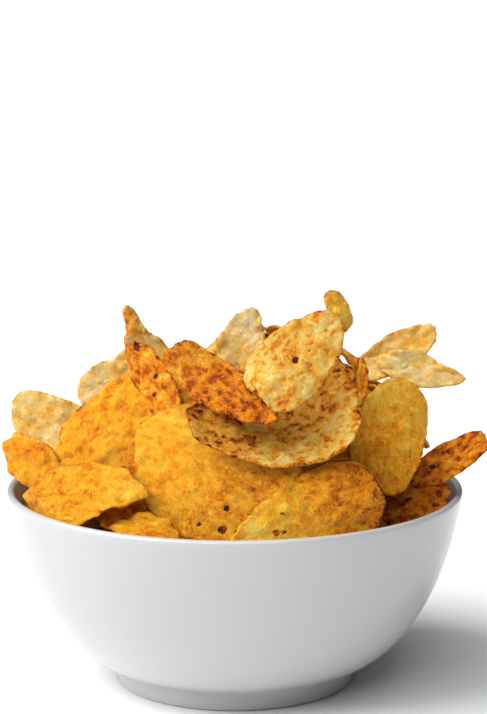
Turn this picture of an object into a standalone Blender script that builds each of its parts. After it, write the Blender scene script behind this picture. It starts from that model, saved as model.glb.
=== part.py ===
"""A white porcelain bowl heaped with potato crisps.

The bowl is turned from one profile. The crisps are one heap: a low core that fills the bowl, a bed
of crisps laid over it by rule, and the crisps that show from the front, each placed by hand and slid
back until it touches what lies behind it. Every crisp is a thin curved slice of its real size.
Sizes are millimetres until a mesh is made. +Z is up, -Y is the front, and the origin is the middle
of the bowl's foot, on the surface that it stands on.
"""

import math
import random
from dataclasses import dataclass, replace

import bmesh
import bpy
import numpy as np
from mathutils import Matrix, Vector
from mathutils.bvhtree import BVHTree

MM = 0.001

# Bowl
RIM_RADIUS = 85.0
BOWL_HEIGHT = 73.5
LIP_THICKNESS = 3.0
FOOT_RADIUS = 45.0
FOOT_WIDTH = 4.5
FOOT_HEIGHT = 7.0
FOOT_ROUNDING = 0.8
RECESS_DEPTH = 3.0
FLOOR_THICKNESS = 5.0
WALL_AT_FOOT = 5.0
WALL_CURVE = ((46.0, FOOT_HEIGHT), (68.0, 13.0), (81.0, 45.0), (RIM_RADIUS, BOWL_HEIGHT - LIP_THICKNESS / 2))
WALL_STEPS = 10
LIP_STEPS = 5
BOWL_SEGMENTS = 48

# Heap
WALL_GAP = 0.6
CLEARANCE = 0.35
CORE_EDGE_HEIGHT = 42.0
CORE_TOP_HEIGHT = 116.0
CORE_SEGMENTS = 24
CORE_RINGS = 6
CORE_LUMPS = 2.5
CORE_SHAPE = 1.5
CORE_LEAN = 12.0
CRISP_THICKNESS = 1.5
SHOWN_DETAIL = (3, 14)
RING_DETAIL = (2, 11)
EDGE_WAVE = 1.1
PRESSED_ABOVE_LIP = 8.0
OUTLINE_WOBBLE = 0.02

# Sliding a crisp to its place
STEP = 0.5
LONGEST_SLIDE = 16.0
LINE_OF_SIGHT = (0.0, math.cos(math.radians(10.0)), -math.sin(math.radians(10.0)))

ROUND = (1.0,) * 8


@dataclass
class Crisp:
    """One slice. face is the direction it faces: degrees from the front towards +X, and above level.
    spin turns its length from level. curl is its bend along and across, positive where the face is
    hollow. rim is its outline at every 45 degrees from the end of its length, as shares of an ellipse.
    detail is how many rings and how many sides its mesh has."""

    at: tuple
    size: tuple
    face: tuple
    spin: float = 0.0
    curl: tuple = (0.0, 0.0)
    rim: tuple = ROUND
    seed: int = 0
    detail: tuple = SHOWN_DETAIL


# The crisps that show from the front, in the order that they are laid
SHOWN = {
    "middle_pale": Crisp((3, -8, 131), (26, 17), (0, 20), 68, (0, 20), (.9, .8, .9, 1.1, 1, 1.1, 1, .8), 15),
    "middle_back": Crisp((3, -18, 119), (32, 20), (0, 40), -5, (0, -20), seed=16),
    "left_brown": Crisp((-29, -24, 117), (36, 15), (-30, 20), -47, (30, -20), seed=7),
    "right_curled": Crisp((67, -42, 76), (30, 17), (10, 35), 15, (-30, -60), seed=22),
    "left_large": Crisp((-43, -31, 99), (56, 44), (-20, 30), 50, (-35, -30), (1, 1, .92, .95, 1, 1, 1, 1), 3),
    "hollow_deep": Crisp((-36, -50, 80), (30, 24), (10, 30), 30, (10, 10), seed=24),
    "under_basin": Crisp((39, -44, 91), (36, 20), (10, 45), 0, (-30, -20), seed=20),
    "front_middle": Crisp((-6, -51, 90), (64, 55), (-8, 30), -30, (-35, -30), (.9, 1, 1, 1, 1, 1, 1, .85), 2),
    "basin": Crisp(
        (15, -42, 106), (65, 44), (5, 40), 12, (70, 50), (.93, 1.18, .87, .85, 1.1, .86, 1, 1.06), 12,
    ),
    "brown_long": Crisp(
        (-3, -43, 119), (51, 19), (-10, 35), -30, (30, -30), (.97, .85, .8, 1.1, 1, 1.1, .95, .9), 11,
    ),
    "mottled_top": Crisp(
        (22, -46, 131), (43, 26), (5, 30), 45, (-20, -30), (1, .9, .93, 1.08, .95, 1.18, 1, .98), 13,
    ),
    "right_large": Crisp((55.5, -28, 98), (42, 28), (8, 20), 80, (-20, -40), (1, .95, 1, 1, 1, 1, 1, 1.2), 19),
    "front_left": Crisp(
        (-57, -54, 82), (56, 28), (-35, 40), 13, (-40, -30), (.95, 1, 1, 1, 1, 1, .95, .72), 4,
    ),
    "front_sliver": Crisp((-31, -72, 74), (25, 14), (-10, 65), -15, (-20, 10), seed=23),
    "front_right": Crisp(
        (24, -69, 73.5), (64, 36), (8, 18), 25, (-20, -50), (.99, 1.17, .92, .9, .95, .7, .8, 1.03), 1,
    ),
    "left_upright": Crisp(
        (-33, -14, 130), (28, 16), (10, 15), -63, (40, 30), (.9, 1.15, .62, .46, 1.05, .72, 1, .92), 8,
    ),
    "top_tip": Crisp((37, -24, 143), (16, 9), (20, 10), 110, (0, -60), seed=14),
    "right_sliver": Crisp((45, -16, 115), (20, 8), (0, 20), 85, (0, 10), seed=25),
    "left_pale_high": Crisp((-38, 2, 116), (24, 18), (0, 20), 60, (20, 10), seed=10),
    "left_pale_low": Crisp((-47, 8, 110), (26, 18), (-10, 20), 20, (20, 10), seed=9),
    "far_left_low": Crisp(
        (-75, -22, 88), (28, 18), (-30, 25), -20, (-30, -20), (1, 1, .9, 1, 1.05, .9, 1, 1), 6,
    ),
    "far_left_pale": Crisp(
        (-67, -5, 98), (36, 22), (-25, 10), -10, (30, 20), (1.1, 1, .9, 1.1, 1, 1, 1, 1), 5,
    ),
    "right_pale_high": Crisp((60, 6, 122), (38, 14), (-10, 20), 33, (10, 30), seed=17),
    "right_pale_low": Crisp(
        (69, 12, 115), (32, 14), (0, 20), -12, (20, 10), (1.1, .75, .9, 1, 1, 1, 1, .9), 18,
    ),
    "right_over_rim": Crisp((78, -16, 86), (36, 14), (-10, 40), 37, (10, 20), seed=21),
}


@dataclass
class Ring:
    """A ring of crisps laid by rule: how many, and about where each starts before it slides inward."""

    count: int
    radius: float
    height: float
    tilt: float
    length: float


RINGS = (
    Ring(18, 72.0, 68.0, 45.0, 40.0),
    Ring(14, 66.0, 84.0, 50.0, 44.0),
    Ring(10, 46.0, 102.0, 60.0, 44.0),
    Ring(6, 20.0, 118.0, 72.0, 40.0),
    Ring(13, 80.0, 92.0, 38.0, 52.0),
    Ring(9, 66.0, 108.0, 45.0, 52.0),
    Ring(5, 36.0, 126.0, 55.0, 46.0),
)
RINGS_SEED = 46
TRIES = 20
MOST_PRESSED = 3.0
FARTHEST_REACH = 90.0

# The outline of the heap against the sky as the front sees it: heights at places from left to right
SKYLINE_X = (-90.0, -75.0, -55.0, -40.0, -20.0, 0.0, 30.0, 45.0, 60.0, 70.0, 75.0, 95.0)
SKYLINE_Z = (80.0, 100.0, 112.0, 122.0, 124.0, 134.0, 134.0, 122.0, 118.0, 108.0, 90.0, 84.0)


def clear_scene():
    for obj in list(bpy.data.objects):
        bpy.data.objects.remove(obj, do_unlink=True)


def material(name, colour, roughness):
    made = bpy.data.materials.new(name)
    made.use_nodes = True
    shader = made.node_tree.nodes["Principled BSDF"]
    shader.inputs["Base Color"].default_value = (*colour, 1.0)
    shader.inputs["Roughness"].default_value = roughness
    return made


def new_object(name, mesh_maker, finish):
    """An object from a bmesh, with one material."""
    mesh = bpy.data.meshes.new(name)
    mesh_maker.to_mesh(mesh)
    mesh_maker.free()
    obj = bpy.data.objects.new(name, mesh)
    obj.data.materials.append(finish)
    bpy.context.scene.collection.objects.link(obj)
    return obj


# Bowl


def bezier(points, t):
    """The point at t on a cubic curve, and its direction of travel."""
    a, b, c, d = (np.array(p) for p in points)
    s = 1 - t
    point = s**3 * a + 3 * s * s * t * b + 3 * s * t * t * c + t**3 * d
    along = 3 * (s * s * (b - a) + 2 * s * t * (c - b) + t * t * (d - c))
    return point, along / np.linalg.norm(along)


def wall_points():
    """The outer wall from the foot to the lip, and the inner wall beside it, as (radius, height)."""
    outer, inner = [], []
    for i in range(WALL_STEPS + 1):
        t = i / WALL_STEPS
        point, along = bezier(WALL_CURVE, t)
        inward = np.array((-along[1], along[0]))
        outer.append(point)
        inner.append(point + inward * (WALL_AT_FOOT + (LIP_THICKNESS - WALL_AT_FOOT) * t))
    return outer, inner


def floor_height():
    return RECESS_DEPTH + FLOOR_THICKNESS


def inside_profile():
    """The bowl's floor from its middle, and its inner wall from there to the lip, as (radius, height)."""
    _, inner = wall_points()
    wall = [p for p in inner if p[1] > floor_height() + 3.0]
    start = np.array((0.0, floor_height()))
    corner = np.array((wall[0][0] - (wall[0][1] - start[1]) * 1.6, floor_height()))
    floor = [(1 - t) ** 2 * start + 2 * t * (1 - t) * corner + t * t * wall[0] for t in (0.0, 0.35, 0.6, 0.8)]
    return floor, wall


def lip_points(spread=0.0):
    """The lip's half round from the outer wall to the inner, as (radius, height)."""
    outer, inner = wall_points()
    middle = (outer[-1] + inner[-1]) / 2
    angles = [math.pi * i / LIP_STEPS for i in range(1, LIP_STEPS)]
    return [middle + (LIP_THICKNESS / 2 + spread) * np.array((math.cos(a), math.sin(a))) for a in angles]


def bowl_profile():
    outer, _ = wall_points()
    floor, wall = inside_profile()
    foot = [
        (0.0, RECESS_DEPTH),
        (FOOT_RADIUS - FOOT_WIDTH - 2.0, RECESS_DEPTH),
        (FOOT_RADIUS - FOOT_WIDTH, FOOT_ROUNDING),
        (FOOT_RADIUS - FOOT_WIDTH + FOOT_ROUNDING, 0.0),
        (FOOT_RADIUS - FOOT_ROUNDING, 0.0),
        (FOOT_RADIUS, FOOT_ROUNDING),
        (FOOT_RADIUS + 0.3, FOOT_HEIGHT * 0.6),
    ]
    return foot + outer + lip_points() + wall[::-1] + floor[::-1]


def clearance_profile():
    """The bowl's profile with the clearance added, where the heap must not be."""
    outer, _ = wall_points()
    floor, wall = inside_profile()
    outside = [(r + CLEARANCE, z) for r, z in outer]
    inside = [(r - CLEARANCE, z) for r, z in wall[::-1]] + [(r, z + CLEARANCE) for r, z in floor[::-1]]
    return [(0.0, 0.0), (FOOT_RADIUS, 0.0)] + outside + lip_points(CLEARANCE) + inside


def turned(profile, segments):
    """A closed solid turned about Z from a profile that starts and ends on the axis."""
    shape = bmesh.new()
    points = [shape.verts.new((r * MM, 0.0, z * MM)) for r, z in profile]
    edges = [shape.edges.new(pair) for pair in zip(points, points[1:])]
    bmesh.ops.spin(shape, geom=points + edges, cent=(0, 0, 0), axis=(0, 0, 1), angle=math.tau, steps=segments)
    bmesh.ops.remove_doubles(shape, verts=shape.verts, dist=1e-6)
    bmesh.ops.recalc_face_normals(shape, faces=shape.faces)
    return shape


def build_bowl(finish):
    bowl = new_object("bowl", turned(bowl_profile(), BOWL_SEGMENTS), finish)
    bowl.data.shade_smooth()
    bowl.data.set_sharp_from_angle(angle=math.radians(40))
    return bowl


def inside_radius(height):
    """How far from the axis the heap may reach at a height, in mm."""
    _, wall = inside_profile()
    return np.interp(height, [p[1] for p in wall], [p[0] for p in wall]) - WALL_GAP


# Crisps


def outline(angles, crisp):
    """The outline's radius at each angle, as shares of the ellipse: the rim's shares with a smooth
    curve through them, and a little seeded unevenness."""
    shares = np.array(crisp.rim, float)
    place = angles / math.tau * len(shares)
    low = np.floor(place).astype(int)
    part = place - low
    before, here, after, beyond = (shares[(low + k) % len(shares)] for k in (-1, 0, 1, 2))
    squared = 2 * before - 5 * here + 4 * after - beyond
    cubed = 3 * (here - after) + beyond - before
    curve = here + 0.5 * part * (after - before + part * (squared + part * cubed))
    draw = random.Random(crisp.seed)
    for wave in range(2, 7):
        size = OUTLINE_WOBBLE * draw.gauss(0, 1) * 2 / wave
        curve = curve + size * np.cos(wave * angles + draw.uniform(0, math.tau))
    return curve


def bent_line(lengths, half, total):
    """Points at these lengths along a line bent by a total angle, and its slope there."""
    samples = np.linspace(-1.4, 1.4, 281)
    slope = math.radians(total) / 2 * samples
    middle = (slope[1:] + slope[:-1]) / 2
    width = samples[1] - samples[0]
    x = np.concatenate([[0], np.cumsum(np.cos(middle))]) * width
    z = np.concatenate([[0], np.cumsum(np.sin(middle))]) * width
    x -= x[len(samples) // 2]
    z -= z[len(samples) // 2]
    at = lengths / half
    return np.interp(at, samples, x) * half, np.interp(at, samples, z) * half, np.interp(at, samples, slope)


def face_axes(crisp):
    """The directions of the crisp's length, its width and its face."""
    azimuth, elevation = (math.radians(a) for a in crisp.face)
    level = Vector((math.cos(azimuth), math.sin(azimuth), 0.0))
    outward = Vector((math.sin(azimuth), -math.cos(azimuth), 0.0))
    face = math.cos(elevation) * outward + Vector((0.0, 0.0, math.sin(elevation)))
    up = face.cross(level)
    spin = math.radians(crisp.spin)
    length = math.cos(spin) * level + math.sin(spin) * up
    width = math.cos(spin) * up - math.sin(spin) * level
    return length, width, face


def crisp_surface(crisp, radii, angles):
    """Points of the crisp's middle surface, in mm, at polar places on it (0 middle, 1 edge)."""
    half_length, half_width = crisp.size[0] / 2, crisp.size[1] / 2
    edge = outline(angles, crisp)
    along = radii * edge * np.cos(angles) * half_length
    across = radii * edge * np.sin(angles) * half_width
    y, rise, _ = bent_line(across, half_width, crisp.curl[1])
    draw = random.Random(crisp.seed + 500)
    for wave in (2, 3, 4):
        size = EDGE_WAVE * draw.uniform(0.3, 1) * 2 / wave
        rise = rise + size * radii**3 * np.sin(wave * angles + draw.uniform(0, math.tau))
    x, z, slope = bent_line(along, half_length, crisp.curl[0])
    x = x - rise * np.sin(slope)
    z = z + rise * np.cos(slope)
    length, width, face = (np.array(v) for v in face_axes(crisp))
    return np.array(crisp.at, float) + np.outer(x, length) + np.outer(y, width) + np.outer(z, face)


def pressed_in(points):
    """How far the bowl presses each point in, in mm: out of its wall, and less and less above its lip."""
    radius = np.hypot(points[:, 0], points[:, 1])
    limit = inside_radius(points[:, 2]) - CRISP_THICKNESS / 2
    share = np.clip(1 - (points[:, 2] - BOWL_HEIGHT - WALL_GAP) / PRESSED_ABOVE_LIP, 0.0, 1.0)
    return np.maximum(radius - limit, 0.0) * share


def kept_in_bowl(points):
    """Points pressed in to the bowl's inner wall where they would be in it or outside it."""
    radius = np.maximum(np.hypot(points[:, 0], points[:, 1]), 1e-6)
    share = 1 - pressed_in(points) / radius
    return points * np.stack([share, share, np.ones(len(points))], axis=1)


def disc(rings, segments):
    """A flat unit disc of triangles, each vertex with its polar place."""
    shape = bmesh.new()
    bmesh.ops.create_circle(shape, cap_ends=True, cap_tris=True, segments=segments, radius=1 / rings)
    for ring in range(2, rings + 1):
        border = [e for e in shape.edges if e.is_boundary]
        grown = bmesh.ops.extrude_edge_only(shape, edges=border)
        new = [v for v in grown["geom"] if isinstance(v, bmesh.types.BMVert)]
        bmesh.ops.scale(shape, vec=(ring / (ring - 1),) * 3, verts=new)
    bmesh.ops.triangulate(shape, faces=shape.faces)
    bmesh.ops.recalc_face_normals(shape, faces=shape.faces)
    return shape


def crisp_sheet(crisp):
    """The crisp's middle surface as a bmesh, in metres, and how far it was pressed in by the bowl."""
    shape = disc(*crisp.detail)
    flat = np.array([v.co[:2] for v in shape.verts])
    radii, angles = np.hypot(flat[:, 0], flat[:, 1]), np.arctan2(flat[:, 1], flat[:, 0])
    points = crisp_surface(crisp, radii, angles % math.tau)
    for vert, point in zip(shape.verts, kept_in_bowl(points)):
        vert.co = Vector(point) * MM
    return shape, pressed_in(points).max()


def crisp_tree(crisp):
    return tree_of(crisp_sheet(crisp)[0])


def tree_of(shape):
    tree = BVHTree.FromBMesh(shape)
    shape.free()
    return tree


def moved(crisp, direction, distance):
    return replace(crisp, at=tuple(a + d * distance for a, d in zip(crisp.at, direction)))


def touches(crisp, trees):
    mine = crisp_tree(crisp)
    return any(mine.overlap(tree) for tree in trees)


def slid_to_rest(crisp, direction, trees):
    """The crisp moved along a direction to the last place before it meets what lies there, or back
    out along it if it starts inside. None if it meets nothing or can't get free."""
    step = -STEP if touches(crisp, trees) else STEP
    distance = 0.0
    while abs(distance) < LONGEST_SLIDE:
        distance += step
        touching = touches(moved(crisp, direction, distance), trees)
        if step < 0 and not touching:
            return moved(crisp, direction, distance)
        if step > 0 and touching:
            return moved(crisp, direction, distance - step)
    return None


def slid_to_nearest(crisp, direction, trees):
    """The crisp moved either way along a direction, to whatever it meets first. None if nothing."""
    found = [slid_to_rest(crisp, way, trees) for way in (direction, -direction)]
    found = [rested for rested in found if rested]
    return min(found, key=lambda rested: (Vector(rested.at) - Vector(crisp.at)).length, default=None)


def ring_places():
    """Angles round the heap, from the front towards +X, each with its ring."""
    for ring in RINGS:
        for i in range(ring.count):
            yield 360.0 * (i + 0.5) / ring.count, ring


def drawn_crisp(azimuth, ring, draw):
    """A crisp near its place in a ring, with seeded unevenness, and the way that it slides."""
    azimuth += draw.uniform(-0.4, 0.4) * 360.0 / ring.count
    turn = math.radians(azimuth)
    radius = ring.radius * draw.uniform(0.8, 1.05)
    length = ring.length * draw.uniform(0.8, 1.2)
    crisp = Crisp(
        (radius * math.sin(turn), -radius * math.cos(turn), ring.height + draw.uniform(-6, 6)),
        (length, length * draw.uniform(0.62, 0.85)),
        (azimuth + draw.uniform(-25, 25), ring.tilt + draw.uniform(-20, 15)),
        draw.uniform(0, 180),
        (draw.uniform(-50, 55), draw.uniform(-40, 45)),
        seed=draw.randrange(1000),
        detail=RING_DETAIL,
    )
    inward = Vector((-math.sin(turn), math.cos(turn), -0.8)).normalized()
    return crisp, inward


def out_of_the_way(crisp, shown_trees):
    """Whether the crisp fits the bowl, and the front sees it neither over the heap's outline nor
    before a crisp that shows."""
    sight = Vector(LINE_OF_SIGHT)
    shape, pressed = crisp_sheet(crisp)
    if pressed > MOST_PRESSED:
        return False
    for vert in shape.verts:
        x, y, z = vert.co / MM
        if math.hypot(x, y) > FARTHEST_REACH:
            return False
        if z - y * sight.z > np.interp(x, SKYLINE_X, SKYLINE_Z):
            return False
        if any(tree.ray_cast(vert.co, sight)[0] for tree in shown_trees):
            return False
    return True


def lay_heap(core_tree):
    """Every crisp of the heap at rest, by name. Those that show are laid first where something
    behind them holds them, then the rings by rule, then those that wait for these to hold them."""
    trees = [core_tree]
    laid = {}
    sight = Vector(LINE_OF_SIGHT)

    def lay(name, crisp):
        laid[name] = crisp
        trees.append(crisp_tree(crisp))

    waiting = {}
    for name, crisp in SHOWN.items():
        rested = slid_to_rest(crisp, sight, trees)
        if rested:
            lay(name, rested)
        else:
            waiting[name] = crisp
    waiting_trees = [crisp_tree(crisp) for crisp in waiting.values()]
    shown_trees = trees[1:] + waiting_trees
    draw = random.Random(RINGS_SEED)
    for number, (azimuth, ring) in enumerate(ring_places()):
        for _ in range(TRIES):
            crisp, inward = drawn_crisp(azimuth, ring, draw)
            rested = None if touches(crisp, trees) else slid_to_rest(crisp, inward, trees)
            if rested and out_of_the_way(rested, shown_trees) and not touches(rested, waiting_trees):
                lay(f"ring_{number}", rested)
                break
    for name, crisp in waiting.items():
        rested = slid_to_nearest(crisp, sight, trees)
        if not rested:
            raise ValueError(f"nothing holds {name}")
        lay(name, rested)
    return laid


# Heap


def core_shape():
    """The heap's core: the inside of the bowl up to its edge height, under a lumpy dome."""
    shape = bmesh.new()
    draw = random.Random(7)
    floor, wall = inside_profile()
    side = [(max(p[0] - WALL_GAP, 0.0), p[1] + WALL_GAP) for p in floor + wall if p[1] < CORE_EDGE_HEIGHT - 4]
    side = side[::2] + [(inside_radius(CORE_EDGE_HEIGHT), CORE_EDGE_HEIGHT)]
    edge_radius = side[-1][0]
    rise = CORE_TOP_HEIGHT - CORE_EDGE_HEIGHT
    dome = []
    for i in range(1, CORE_RINGS):
        angle = math.pi / 2 * i / CORE_RINGS
        dome.append((edge_radius * math.cos(angle) ** CORE_SHAPE, CORE_EDGE_HEIGHT + rise * math.sin(angle)))
    shape = turned(side + dome + [(0.0, CORE_TOP_HEIGHT)], CORE_SEGMENTS)
    for vert in shape.verts:
        share = (vert.co.z / MM - CORE_EDGE_HEIGHT) / rise
        if share > 0.01:
            vert.co.y += CORE_LEAN * share * MM
            vert.co.z += draw.uniform(-1, 1) * CORE_LUMPS * MM
    bmesh.ops.triangulate(shape, faces=shape.faces)
    bmesh.ops.recalc_face_normals(shape, faces=shape.faces)
    return shape


def crisp_solid(name, crisp, finish):
    slice_of = new_object(name, crisp_sheet(crisp)[0], finish)
    thick = slice_of.modifiers.new("Thickness", "SOLIDIFY")
    thick.thickness = CRISP_THICKNESS * MM
    thick.offset = 0.0
    return slice_of


def volume(faces):
    return sum(face.calc_center_median().dot(face.normal) * face.calc_area() for face in faces) / 3


def whole_parts_only(shape):
    """Drops loose scraps and the walls of sealed hollows, so one closed body is left."""
    left = set(shape.faces)
    islands = []
    while left:
        island, reach = set(), [next(iter(left))]
        while reach:
            face = reach.pop()
            if face in island:
                continue
            island.add(face)
            reach += [other for edge in face.edges for other in edge.link_faces if other not in island]
        left -= island
        islands.append(list(island))
    main = max(islands, key=volume)
    scrap = [f for island in islands if island is not main for f in island]
    bmesh.ops.delete(shape, geom=scrap, context="FACES")


def add_boolean(obj, operation):
    modifier = obj.modifiers.new(operation.title(), "BOOLEAN")
    modifier.operation = operation
    modifier.solver = "MANIFOLD"
    return modifier


def build_heap(finish):
    core = core_shape()
    laid = lay_heap(tree_of(core))
    heap = new_object("crisps", core_shape(), finish)
    slices = bpy.data.collections.new("slices")
    bpy.context.scene.collection.children.link(slices)
    for name, crisp in laid.items():
        solid = crisp_solid(name, crisp, finish)
        bpy.context.scene.collection.objects.unlink(solid)
        slices.objects.link(solid)
    clearance = new_object("clearance", turned(clearance_profile(), BOWL_SEGMENTS), finish)
    fuse = add_boolean(heap, "UNION")
    fuse.operand_type = "COLLECTION"
    fuse.collection = slices
    add_boolean(heap, "DIFFERENCE").object = clearance
    fused = bmesh.new()
    fused.from_object(heap, bpy.context.evaluated_depsgraph_get())
    heap.modifiers.clear()
    bmesh.ops.triangulate(fused, faces=fused.faces)
    fused.normal_update()
    whole_parts_only(fused)
    fused.to_mesh(heap.data)
    fused.free()
    for used in [*slices.objects, clearance]:
        bpy.data.objects.remove(used, do_unlink=True)
    bpy.data.collections.remove(slices)
    return heap


def centre(parts):
    """Moves the parts as one so that the middle of their box is over the origin."""
    corners = np.array([v.co for part in parts for v in part.data.vertices])
    middle = (corners.min(axis=0) + corners.max(axis=0)) / 2
    for part in parts:
        part.data.transform(Matrix.Translation((-middle[0], -middle[1], 0.0)))


def main():
    clear_scene()
    bowl = build_bowl(material("porcelain", (0.86, 0.87, 0.88), 0.2))
    heap = build_heap(material("crisp", (0.80, 0.42, 0.07), 0.55))
    centre([bowl, heap])


if __name__ == "__main__":
    main()
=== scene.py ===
"""The looks of the bowl of potato crisps: a glazed porcelain bowl, and crisps as thin fried slices.

Every crisp is laid by the same rule as in the CAD model, then made as a fine mesh with blisters, a
browned edge and burnt spots. Sizes are millimetres until a mesh is made.
"""

import math
import random
from dataclasses import dataclass, replace

import bmesh
import bpy
import numpy as np
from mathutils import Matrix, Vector
from mathutils.bvhtree import BVHTree


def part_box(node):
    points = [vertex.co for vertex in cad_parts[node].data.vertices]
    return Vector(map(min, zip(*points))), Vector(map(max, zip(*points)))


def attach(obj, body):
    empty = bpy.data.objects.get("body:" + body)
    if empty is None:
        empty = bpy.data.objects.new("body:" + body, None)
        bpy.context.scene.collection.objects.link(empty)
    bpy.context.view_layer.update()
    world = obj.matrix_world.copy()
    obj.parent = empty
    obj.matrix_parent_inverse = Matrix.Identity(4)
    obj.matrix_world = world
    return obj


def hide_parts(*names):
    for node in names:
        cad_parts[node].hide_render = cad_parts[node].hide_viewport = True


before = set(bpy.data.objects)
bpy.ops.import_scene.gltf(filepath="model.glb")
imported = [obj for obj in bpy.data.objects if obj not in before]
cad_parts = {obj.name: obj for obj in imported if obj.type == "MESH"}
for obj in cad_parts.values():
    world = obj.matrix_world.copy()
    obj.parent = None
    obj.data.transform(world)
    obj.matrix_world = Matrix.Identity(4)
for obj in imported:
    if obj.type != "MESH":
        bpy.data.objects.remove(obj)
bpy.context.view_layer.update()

MM = 0.001

# Bowl
RIM_RADIUS = 85.0
BOWL_HEIGHT = 73.5
LIP_THICKNESS = 3.0
FOOT_RADIUS = 45.0
FOOT_WIDTH = 4.5
FOOT_HEIGHT = 7.0
FOOT_ROUNDING = 0.8
FOOT_FLARE = 0.3
RECESS_DEPTH = 3.0
RECESS_SLOPE = 2.0
FLOOR_THICKNESS = 5.0
FLOOR_CORNER_HEIGHT = 3.0
FLOOR_CORNER_REACH = 1.6
FLOOR_STEPS = (0.0, 0.35, 0.6, 0.8)
WALL_AT_FOOT = 5.0
LIP_MIDDLE = (RIM_RADIUS, BOWL_HEIGHT - LIP_THICKNESS / 2)
WALL_CURVE = ((46.0, FOOT_HEIGHT), (68.0, 13.0), (81.0, 45.0), LIP_MIDDLE)
WALL_STEPS = 10
FINE_WALL_STEPS = 40
FINE_LIP_STEPS = 12
BOWL_SEGMENTS = 180
SHARPEST_SMOOTH_EDGE = math.radians(50)

# Heap
WALL_GAP = 0.6
CORE_EDGE_HEIGHT = 42.0
CORE_SIDE_BELOW_EDGE = 4.0
CORE_TOP_HEIGHT = 116.0
CORE_SEGMENTS = 24
CORE_RINGS = 6
CORE_LUMPS = 2.5
CORE_SHAPE = 1.5
CORE_LEAN = 12.0
CORE_SEED = 7
CRISP_THICKNESS = 1.5
SHOWN_DETAIL = (3, 14)
RING_DETAIL = (2, 11)
EDGE_WAVE = 1.1
PRESSED_ABOVE_LIP = 8.0
OUTLINE_WOBBLE = 0.02
BEND_REACH = 1.4
BEND_SAMPLES = 281
WAVE_SEED = 500

# How many waves go round a crisp, in its outline and in its sheet, and in these of a fine one
OUTLINE_WAVES = range(2, 7)
SHEET_WAVES = (2, 3, 4)
RAGGED_WAVES = range(5, 44, 2)
RIPPLE_WAVES = (5, 7, 8, 11)

# Sliding a crisp to its place
STEP = 0.5
LONGEST_SLIDE = 16.0
LINE_OF_SIGHT = (0.0, math.cos(math.radians(10.0)), -math.sin(math.radians(10.0)))

ROUND = (1.0,) * 8


@dataclass
class Crisp:
    """One slice. face is the direction it faces: degrees from the front towards +X, and above level.
    spin turns its length from level. curl is its bend along and across, positive where the face is
    hollow. rim is its outline at every 45 degrees from the end of its length, as shares of an ellipse.
    detail is how many rings and how many sides its mesh has."""

    at: tuple
    size: tuple
    face: tuple
    spin: float = 0.0
    curl: tuple = (0.0, 0.0)
    rim: tuple = ROUND
    seed: int = 0
    detail: tuple = SHOWN_DETAIL


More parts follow.
